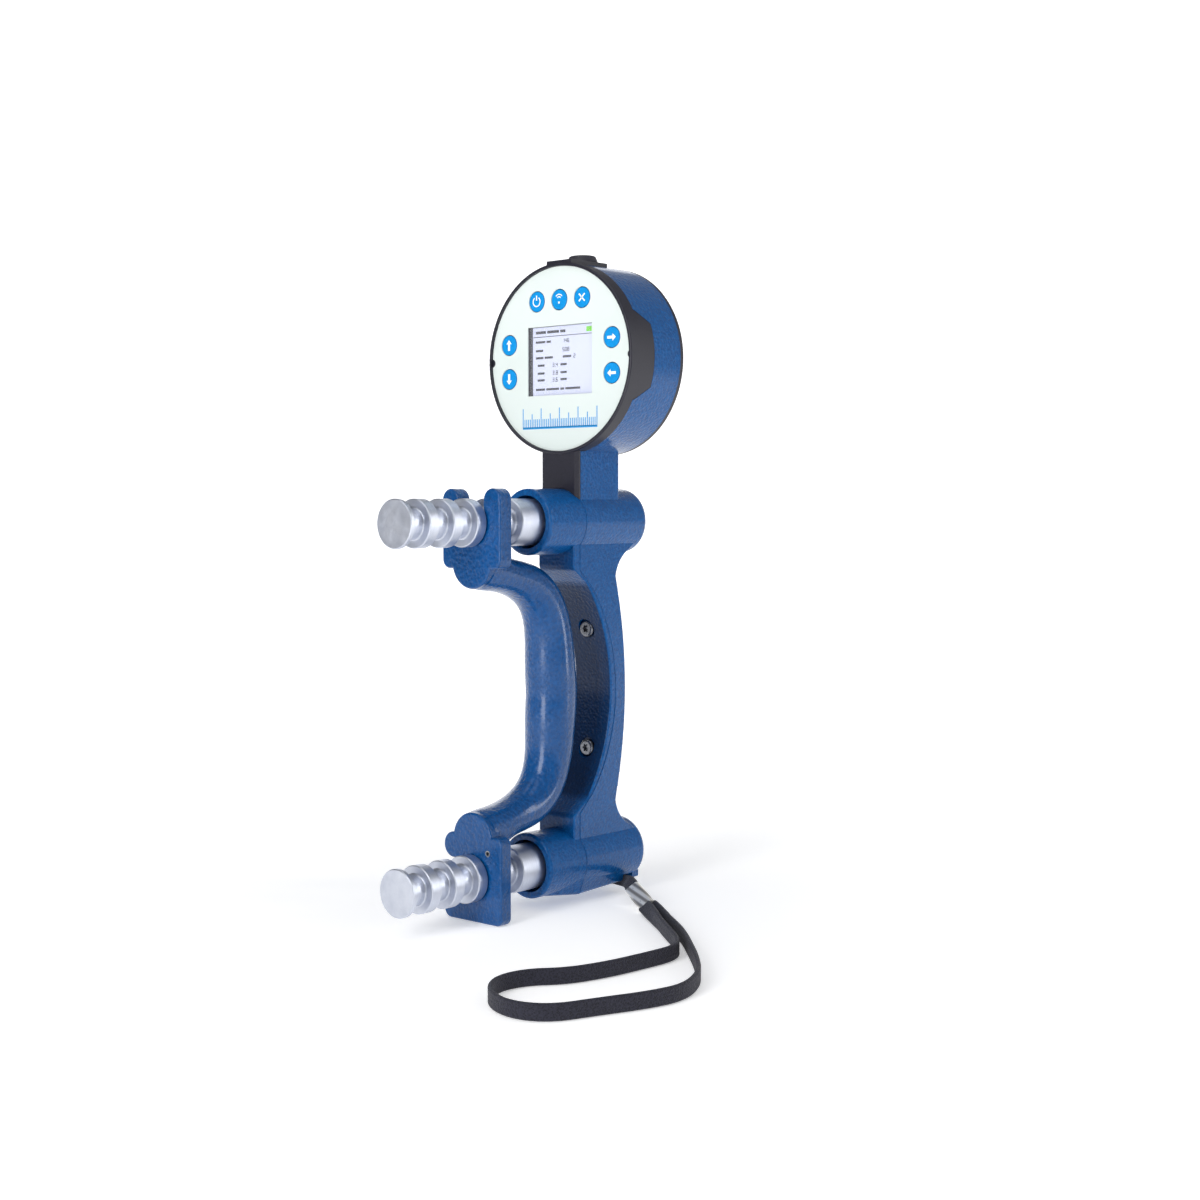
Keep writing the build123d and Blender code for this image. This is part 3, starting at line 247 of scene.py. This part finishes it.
# ------------------------------------------------------------------------- stage
# White paper that lies flat round the instrument and sweeps up behind it
SWEEP_START = 0.9
SWEEP_R = 0.8
SWEEP_TOP = 1.0
FRONT_END = -2.5
SHEET_HALF = 2.5
paper = Finish("studio_paper", srgb(246, 246, 247), 0.9)
paper.colour(paper.ramp(paper.noise(3, 3), (0.0, srgb(244, 244, 245)), (1.0, srgb(250, 250, 250))))
reach = paper.add("ShaderNodeVectorMath", operation="LENGTH")
paper.link(paper.place, reach, "Vector")
near_glow = paper.spread(reach.outputs["Value"], 0.10, 0.60, 0.36, 0.78)
heading = math.radians(43)
back = Vector((-math.sin(heading), math.cos(heading), 0))
across = Vector((math.cos(heading), math.sin(heading), 0))
sideways = paper.add("ShaderNodeVectorMath", operation="DOT_PRODUCT")
sideways.inputs[1].default_value = across
paper.link(paper.place, sideways, "Vector")
aside = paper.maths("ABSOLUTE", sideways.outputs["Value"], 0.0)
glow = paper.maths("MULTIPLY", near_glow, paper.spread(aside, 1.1, 1.7, 1.0, 0.3))
paper.set(paper.shader, "Emission Color", (1, 1, 1, 1))
paper.link(glow, paper.shader, "Emission Strength")
profile = [(FRONT_END, 0.0), (SWEEP_START, 0.0)]
for step in range(1, 17):
    turn = math.radians(90 * step / 16)
    profile.append((SWEEP_START + SWEEP_R * math.sin(turn), SWEEP_R * (1 - math.cos(turn))))
profile.append((SWEEP_START + SWEEP_R, SWEEP_TOP))
paper_points, paper_faces = [], []
for out, up in profile:
    for side in (-SHEET_HALF, SHEET_HALF):
        paper_points.append(back * out + across * side + Vector((0, 0, up)))
for k in range(len(profile) - 1):
    paper_faces.append((2 * k, 2 * k + 1, 2 * k + 3, 2 * k + 2))
paper_mesh = bpy.data.meshes.new("studio_paper")
paper_mesh.from_pydata(paper_points, [], paper_faces)
for polygon in paper_mesh.polygons:
    polygon.use_smooth = True
sheet = bpy.data.objects.new("studio_paper", paper_mesh)
bpy.context.scene.collection.objects.link(sheet)
paper_mesh.materials.append(paper.material)


# --------------------------------------------------------------------- materials
def hammertone(name, deep, pale, pebble, height, fleck, coat, painted_front_shade=False):
    """Glossy paint that draws up into pebbles, with fine metal flake, in two tones: painted highlight on
    the pebble tops and painted shade in their hollows, mixed with a random flake tone.

    Pebble and fleck are cells a metre; coat is its weight, roughness and IOR."""
    paint = Finish(name, deep, 0.34, 0.0, Coat_Weight=coat[0], Coat_Roughness=coat[1],
                   Coat_IOR=coat[2], Specular_IOR_Level=0.15)
    warp = paint.noise(pebble * 0.9, 2)
    cell = paint.cells(pebble)
    lumps = paint.maths("ADD", paint.maths("MULTIPLY", cell, 0.75), paint.maths("MULTIPLY", warp, 0.6))
    flake = paint.noise(fleck, 2, 0.7)
    # Painted highlight and shade: the pebble tops go pale and the hollows deep, mixed with the random
    # flake tone
    pebble_light_and_flake_tone = paint.maths("ADD", paint.maths("MULTIPLY", lumps, 0.55), paint.maths("MULTIPLY", flake, 0.5))
    colour = paint.ramp(pebble_light_and_flake_tone, (0.30, deep), (0.78, pale))
    if painted_front_shade:
        # Painted shade: the hollow front of the web, between its screws and facing the grip, is darkened
        # to navy charcoal for the handle's shade and dark reflection
        facing = paint.spread(paint.axis("Y", "Normal"), -0.55, -0.85, 0.0, 1.0)
        inside = paint.spread(paint.maths("ABSOLUTE", paint.axis("X"), 0.0), 0.0088, 0.0094, 1.0, 0.0)
        beyond = paint.spread(paint.axis("Y"), 0.0225, 0.026, 0.0, 1.0)
        shade = paint.maths("MULTIPLY", paint.maths("MULTIPLY", facing, inside), beyond)
        colour = paint.mix(paint.maths("MULTIPLY", shade, 0.78), colour, srgb(4, 24, 54))
    paint.colour(colour)
    paint.roughness(paint.spread(flake, 0.3, 0.7, 0.26, 0.42))
    paint.bump(lumps, height)
    return paint


casting_paint = hammertone("casting_paint", srgb(0, 58, 114), srgb(6, 90, 156), 860, 0.00034, 2800,
                           (0.8, 0.14, 1.34))
web_paint_and_shade = hammertone("web_paint_and_shade", srgb(0, 58, 114), srgb(6, 90, 156), 860, 0.00034, 2800,
                       (0.6, 0.14, 1.3), True)
handle_paint = hammertone("handle_paint", srgb(0, 60, 114), srgb(0, 76, 138), 640, 0.0007, 2200,
                          (0.9, 0.16, 1.38))

turned_metal = Finish("turned_metal", srgb(196, 200, 212), 0.3, 1.0)
turned_metal.roughness(turned_metal.spread(
    turned_metal.noise(40, 3, 0.6, (6, 260, 6)), 0.3, 0.7, 0.34, 0.48))
turned_metal.bump(turned_metal.noise(60, 2, 0.5, (1, 60, 1)), 0.00002, 0.5)
turned_metal.colour(turned_metal.ramp(turned_metal.noise(30, 3, 0.6, (4, 200, 4)),
                                      (0.3, srgb(196, 201, 214)), (0.7, srgb(218, 222, 232))))


def plain_metal(name, colour, roughness, scale=900):
    metal = Finish(name, colour, roughness, 1.0)
    grain = metal.noise(scale, 3)
    metal.roughness(metal.spread(grain, 0.3, 0.7, roughness * 0.75, roughness * 1.3))
    metal.bump(grain, 0.00001, 0.4)
    return metal


steel = plain_metal("steel", srgb(178, 180, 184), 0.3)
screw_steel = plain_metal("screw_steel", srgb(128, 130, 136), 0.28)
dark_screw = plain_metal("dark_screw", srgb(58, 58, 62), 0.35)
spring_steel = plain_metal("spring_steel", srgb(150, 152, 156), 0.3)
nickel = plain_metal("nickel", srgb(216, 214, 210), 0.36)
# Painted reflection: bright and dark streaks that run along the ferrule, painted into its colour
FERRULE_ACROSS = (0.36, 0.68, 0.64)
REFLECTION_STREAK_PITCH = 2200.0
across_ferrule = nickel.add("ShaderNodeVectorMath", operation="DOT_PRODUCT")
nickel.link(nickel.place, across_ferrule, "Vector")
across_ferrule.inputs[1].default_value = FERRULE_ACROSS
reflection_streak = nickel.maths("SINE", nickel.maths("MULTIPLY", across_ferrule.outputs["Value"], REFLECTION_STREAK_PITCH), 0.0)
nickel.colour(nickel.ramp(nickel.spread(reflection_streak, -1.0, 1.0, 0.0, 1.0),
                          (0.1, srgb(150, 146, 140)), (0.8, srgb(246, 243, 236))))
nickel.set(nickel.shader, "Metallic", 0.55)


def moulded(name, colour, roughness, grain_scale=1500, height=0.00003):
    plastic = Finish(name, colour, roughness)
    grain = plastic.noise(grain_scale, 3, 0.6)
    tint = tuple(min(1, c * 1.35 + 0.002) for c in colour[:3]) + (1,)
    plastic.colour(plastic.ramp(grain, (0.35, colour), (0.7, tint)))
    plastic.roughness(plastic.spread(grain, 0.3, 0.7, roughness * 0.85, roughness * 1.15))
    plastic.bump(grain, height)
    return plastic


case_plastic = moulded("case_plastic", srgb(27, 26, 38), 0.42)
cover_rubber = moulded("cover_rubber", srgb(44, 43, 52), 0.5, 1100)
face_film = moulded("face_film", srgb(232, 241, 237), 0.35, 2400, 0.00001)
face_film.colour(face_film.ramp(face_film.noise(14, 2),
                                (0.3, srgb(215, 225, 221)), (0.7, srgb(223, 231, 228))))
key_film = moulded("key_film", srgb(0, 132, 200), 0.5, 2400, 0.00001)
key_film.set(key_film.shader, "Specular IOR Level", 0.2)
white_ink = moulded("white_ink", srgb(244, 249, 252), 0.4, 2400, 0.00001)
blue_ink = moulded("blue_ink", srgb(38, 140, 205), 0.4, 2400, 0.00001)
board_green = moulded("board_green", srgb(20, 74, 44), 0.4, 1200)
battery_wrap = moulded("battery_wrap", srgb(60, 66, 78), 0.35, 700)
lead_jacket = moulded("lead_jacket", srgb(30, 30, 33), 0.5)

screen_light = moulded("screen_light", srgb(202, 207, 238), 0.35, 3000, 0.000005)
screen_ink = moulded("screen_ink", srgb(46, 46, 58), 0.5, 3000, 0.000005)
screen_green = moulded("screen_green", srgb(110, 200, 40), 0.5, 3000, 0.000005)

window_glass = Finish("window_glass", (0.95, 0.97, 1.0, 1), 0.08, 0.0, Alpha=0.06)
window_glass.roughness(window_glass.spread(window_glass.noise(600, 2), 0.3, 0.7, 0.06, 0.12))
window_glass.material.blend_method = "BLEND"

dress("front_casting", web_paint_and_shade)
dress("rear_casting", casting_paint)
dress("grip_handle", handle_paint)
for name in ("upper_post", "lower_post"):
    dress(name, turned_metal)
for name in ("clip_pin", "load_cell", "board_screws", "strap_pin", "charge_socket", "key_switches"):
    dress(name, steel)
dress("casting_screws", screw_steel)
dress("cover_screws", dark_screw)
dress("retaining_clip", spring_steel)
dress("strap_ferrule", nickel)
for name in ("gauge_bezel", "rear_cover"):
    dress(name, case_plastic)
dress("port_cover", cover_rubber)
dress("face_overlay", face_film)
dress("display_window", window_glass)
dress("lcd_module", screen_light)
for name in ("keypad_board", "main_board"):
    dress(name, board_green)
dress("battery", battery_wrap)
dress("sensor_lead", lead_jacket)
KEYS = ("key_power", "key_link", "key_clear", "key_up", "key_down", "key_right", "key_left")
for name in KEYS:
    dress(name, key_film)


# ---------------------------------------------------------------- printed graphics
INK = 0.04 * MM
LIFT = 0.01 * MM


def printed(name, shapes, y, finish, body=INSTRUMENT):
    """Thin flat shapes of (x, z) corners in millimetres, lying on a face at depth y."""
    bm = bmesh.new()
    for corners, centre in shapes:
        front = [bm.verts.new((centre[0] + x * MM, y - INK, centre[1] + z * MM)) for x, z in corners]
        back = [bm.verts.new((centre[0] + x * MM, y, centre[1] + z * MM)) for x, z in corners]
        bm.faces.new(front)
        bm.faces.new(back[::-1])
        for k in range(len(corners)):
            n = (k + 1) % len(corners)
            bm.faces.new((front[n], front[k], back[k], back[n]))
    bmesh.ops.recalc_face_normals(bm, faces=bm.faces)
    return new_piece(name, bm, finish, body)


def bar(x0, z0, x1, z1, width):
    """Straight stroke between two points."""
    along = Vector((x1 - x0, z1 - z0)).normalized() * width / 2
    dx, dz = -along.y, along.x
    return [(x0 + dx, z0 + dz), (x1 + dx, z1 + dz), (x1 - dx, z1 - dz), (x0 - dx, z0 - dz)]


def ring(radius, width, start=0.0, sweep=360.0):
    """Arc of short strokes, in degrees from +X."""
    steps = 20
    spots = []
    for i in range(steps + 1):
        angle = math.radians(start + sweep * i / steps)
        spots.append((radius * math.cos(angle), radius * math.sin(angle)))
    return [bar(*a, *b, width) for a, b in zip(spots, spots[1:])]


def turned(shape, quarter):
    """The same outline turned by quarter turns."""
    for _ in range(quarter):
        shape = [(-z, x) for x, z in shape]
    return shape


ARROW = [(0, 2.2), (-1.45, 0.5), (-0.55, 0.5), (-0.55, -2.2), (0.55, -2.2), (0.55, 0.5), (1.45, 0.5)]
ICONS = {
    "key_power": ring(1.9, 0.5, 125, 290) + [bar(0, 0.5, 0, 2.5, 0.55)],
    "key_link": [bar(0, -1.6, 0, -0.8, 0.8)] + ring(1.1, 0.45, 40, 100) + ring(2.1, 0.45, 40, 100),
    "key_clear": [bar(-1.5, -1.5, 1.5, 1.5, 0.6), bar(-1.5, 1.5, 1.5, -1.5, 0.6)],
    "key_up": [ARROW],
    "key_left": [turned(ARROW, 1)],
    "key_down": [turned(ARROW, 2)],
    "key_right": [turned(ARROW, 3)],
}
for name, shapes in ICONS.items():
    key_low, key_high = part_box(name)
    centre = ((key_low[0] + key_high[0]) / 2, (key_low[2] + key_high[2]) / 2)
    printed(name + "_mark", [(shape, centre) for shape in shapes], key_low[1] + LIFT,
            white_ink, name + "_body")

# Graduated scale under the screen
SCALE_HALF = 20
SCALE_DROP = 27.6
scale_marks = [bar(-SCALE_HALF - 0.2, 0, SCALE_HALF + 0.2, 0, 0.9)]
for step in range(-SCALE_HALF, SCALE_HALF + 1):
    tall = 8.0 if step % 10 == 0 else (5.8 if step % 5 == 0 else 3.6)
    scale_marks.append(bar(step, 0, step, tall, 0.46))
scale_place = (0, FACE_Z - SCALE_DROP * MM)
printed("scale_print", [(shape, scale_place) for shape in scale_marks],
        FACE_Y + LIFT, blue_ink)

# Screen: title, rows of plain bars in place of words, and digits in place of values
SCREEN_HALF = (17.2, 13.9)
SCREEN_CENTRE = ((screen_low[0] + screen_high[0]) / 2, SCREEN_Z)
SCREEN_FACE = lcd_low[1] - 0.005 * MM
SEGMENTS = {
    "a": (0, 2, 1, 2), "b": (1, 2, 1, 1), "c": (1, 1, 1, 0), "d": (0, 0, 1, 0),
    "e": (0, 1, 0, 0), "f": (0, 2, 0, 1), "g": (0, 1, 1, 1),
}
DIGITS = ("abcdef", "bc", "abged", "abgcd", "fgbc", "afgcd", "afgedc", "abc", "abcdefg", "abcfgd")
TEXT_TALL = 1.45
DIGIT_WIDE = 0.8


def words(x, drop, widths, tall=TEXT_TALL):
    """Plain bars from x, drop below the top of the screen."""
    shapes = []
    for width in widths:
        level = SCREEN_HALF[1] - drop
        shapes.append(bar(x - SCREEN_HALF[0], level, x + width - SCREEN_HALF[0], level, tall * 0.62))
        x += width + 0.7
    return shapes


def digits(x, drop, text):
    """Seven-segment digits, with a point as a small stroke."""
    shapes = []
    base = SCREEN_HALF[1] - drop - TEXT_TALL / 2
    for sign in text:
        left = x - SCREEN_HALF[0]
        if sign == ".":
            shapes.append(bar(left, base, left + 0.28, base, 0.3))
            x += 0.6
            continue
        for segment in DIGITS[int(sign)]:
            x0, z0, x1, z1 = SEGMENTS[segment]
            shapes.append(bar(left + x0 * DIGIT_WIDE, base + z0 * TEXT_TALL / 2,
                              left + x1 * DIGIT_WIDE + 0.001, base + z1 * TEXT_TALL / 2 + 0.001, 0.26))
        x += DIGIT_WIDE + 0.5
    return shapes


screen_marks = [bar(0.7 - SCREEN_HALF[0], -SCREEN_HALF[1], 0.7 - SCREEN_HALF[0], SCREEN_HALF[1], 1.4)]
screen_marks += words(3.0, 2.1, (5.6, 6.4, 2.8), 1.8)
rule_level = SCREEN_HALF[1] - 3.9
screen_marks.append(bar(1.6 - SCREEN_HALF[0], rule_level, SCREEN_HALF[0] - 0.4, rule_level, 0.3))
screen_marks += words(3.0, 6.0, (5.2, 2.4)) + digits(17.7, 6.0, "146")
screen_marks += words(3.0, 9.5, (4.0,)) + digits(17.7, 9.5, "508")
screen_marks += words(3.0, 12.4, (4.2, 4.4)) + words(17.7, 12.4, (4.6,)) + digits(23.6, 12.4, "2")
for row, value in ((15.5, "3.4"), (18.7, "3.8"), (21.5, "3.6")):
    screen_marks += words(4.0, row, (3.8,)) + digits(12.2, row, value) + words(16.5, row, (3.4,))
screen_marks += words(3.0, 25.3, (5.0, 7.0, 2.0, 8.0))
printed("screen_text", [(shape, SCREEN_CENTRE) for shape in screen_marks],
        SCREEN_FACE, screen_ink)
cell_left, cell_level = SCREEN_HALF[0] - 4.0, SCREEN_HALF[1] - 2.1
charge_marks = [bar(cell_left, cell_level, cell_left + 2.8, cell_level, 2.0),
                bar(cell_left + 2.8, cell_level, cell_left + 3.2, cell_level, 0.9)]
printed("screen_charge", [(shape, SCREEN_CENTRE) for shape in charge_marks],
        SCREEN_FACE, screen_green)


# ------------------------------------------------------------------- wrist strap
SHIFT = 5.1
STRAP_Z = 3.2
STRAP_WIDE = 6.0
STRAP_THICK = 1.7
FOLD_THICK = 2.8
STRAP_STEP = 0.0012
FOLD_STEP = 0.0008
STRAP_ROUTE = [
    (41.2, 25.2), (58.0, 11.2), (74.5, -3.2), (88.5, -14.5), (97.5, -26.0), (96.5, -44.0),
    (94.6, -62.0), (90.0, -78.0), (81.0, -88.0), (79.5, -102.0), (89.0, -115.5),
    (104.0, -121.5), (117.0, -116.0), (123.0, -99.0), (129.5, -83.0), (132.5, -67.0),
    (125.0, -49.0), (112.0, -33.5), (98.5, -19.5), (83.0, -4.0), (64.5, 10.6), (42.8, 27.2),
]
TAIL_ROUTE = [
    (1.5, 52.5, 4.9), (8.0, 52.2, 4.8), (14.5, 48.0, 5.6), (21.5, 39.5, 7.9), (28.5, 33.2, 7.4),
]


def smooth_route(name, points):
    """Points along the NURBS curve through the route, in metres."""
    curve = bpy.data.curves.new(name, "CURVE")
    curve.dimensions = "3D"
    curve.resolution_u = 24
    spline = curve.splines.new("NURBS")
    spline.points.add(len(points) - 1)
    for point, (x, y, z) in zip(spline.points, points):
        point.co = (x * MM, (y + SHIFT) * MM, z * MM, 1)
    spline.order_u = 3
    spline.use_endpoint_u = True
    holder = bpy.data.objects.new(name, curve)
    bpy.context.scene.collection.objects.link(holder)
    bpy.context.view_layer.update()
    line = bpy.data.meshes.new_from_object(holder)
    found = [v.co.copy() for v in line.vertices]
    bpy.data.objects.remove(holder)
    return found


def even(points, step):
    """The same line with points evenly step apart."""
    lengths = [0.0]
    for a, b in zip(points, points[1:]):
        lengths.append(lengths[-1] + (b - a).length)
    count = max(2, round(lengths[-1] / step))
    result, k = [], 0
    for i in range(count + 1):
        want = lengths[-1] * i / count
        while k < len(points) - 2 and lengths[k + 1] < want:
            k += 1
        part = (want - lengths[k]) / max(1e-9, lengths[k + 1] - lengths[k])
        result.append(points[k].lerp(points[k + 1], part))
    return result, lengths[-1]


def band_section(width, thick, ribs):
    """Closed outline of webbing: ribs along both faces and round edges."""
    outline = []
    steps = ribs * 6
    for side in (1, -1):
        for i in range(steps + 1):
            along = -1 + 2 * i / steps
            rib = 0.5 + 0.5 * abs(math.sin(math.pi * ribs * (along + 1) / 2))
            edge = min(1.0, math.sqrt(max(0.0, 1 - abs(along) ** 7)) + 0.12)
            outline.append((side * along * width / 2, side * thick / 2 * edge * (0.80 + 0.20 * rib)))
    return outline


def sweep_band(name, points, sections, finish, roll=lambda i, n: 0.0):
    """Skin rings of (across, out) outlines along the line, rolled from upright in degrees."""
    bm = bmesh.new()
    rings = []
    for i, point in enumerate(points):
        ahead = points[min(i + 1, len(points) - 1)] - points[max(i - 1, 0)]
        side = ahead.cross(Vector((0, 0, 1))).normalized()
        up = side.cross(ahead).normalized()
        lean = math.radians(roll(i, len(points)))
        up, side = up * math.cos(lean) + side * math.sin(lean), side * math.cos(lean) - up * math.sin(lean)
        outline = sections(i, len(points))
        rings.append([bm.verts.new(point + up * a + side * b) for a, b in outline])
    for ring, after in zip(rings, rings[1:]):
        for k in range(len(ring)):
            n = (k + 1) % len(ring)
            bm.faces.new((ring[k], ring[n], after[n], after[k]))
    bm.faces.new(rings[0][::-1])
    bm.faces.new(rings[-1])
    bmesh.ops.recalc_face_normals(bm, faces=bm.faces)
    return new_piece(name, bm, finish, smooth=True)


webbing = Finish("black_webbing", srgb(36, 36, 46), 0.75, 0.0, Sheen_Weight=0.08, Sheen_Roughness=0.5,
                 Specular_IOR_Level=0.35)
thread = webbing.noise(2600, 3, 0.6)
weave = webbing.cells(1500, 0.3)
webbing.colour(webbing.ramp(weave, (0.1, srgb(12, 12, 22)), (0.6, srgb(40, 40, 54))))
webbing.bump(webbing.maths("ADD", weave, thread), 0.00025)

loop_points, loop_length = even(
    smooth_route("loop_route", [(x, y, STRAP_Z) for x, y in STRAP_ROUTE]), STRAP_STEP)
band = band_section(STRAP_WIDE * MM, STRAP_THICK * MM, 4)
FERRULE_LEAN = 50
TWIST = 0.03


def loop_roll(i, count):
    """Leaning with the ferrule at both ends and upright a little way along."""
    run = min(i, count - 1 - i) / (count - 1) * loop_length / TWIST
    lean = FERRULE_LEAN * max(0.0, 1 - run)
    return -lean if i < count / 2 else lean


wrist_strap = sweep_band("wrist_band", loop_points, lambda i, n: band, webbing, loop_roll)
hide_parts("wrist_strap")

tail_points, tail_length = even(smooth_route("tail_route", TAIL_ROUTE), FOLD_STEP)


def fold_section(i, count):
    """Narrow at the pin, as wide as the ferrule where it goes in."""
    return band_section((4.8 + 1.6 * i / count) * MM, FOLD_THICK * MM, 3)


strap_tail = sweep_band("strap_fold", tail_points, fold_section, webbing,
                        lambda i, n: -FERRULE_LEAN * i / n)
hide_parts("strap_tail")
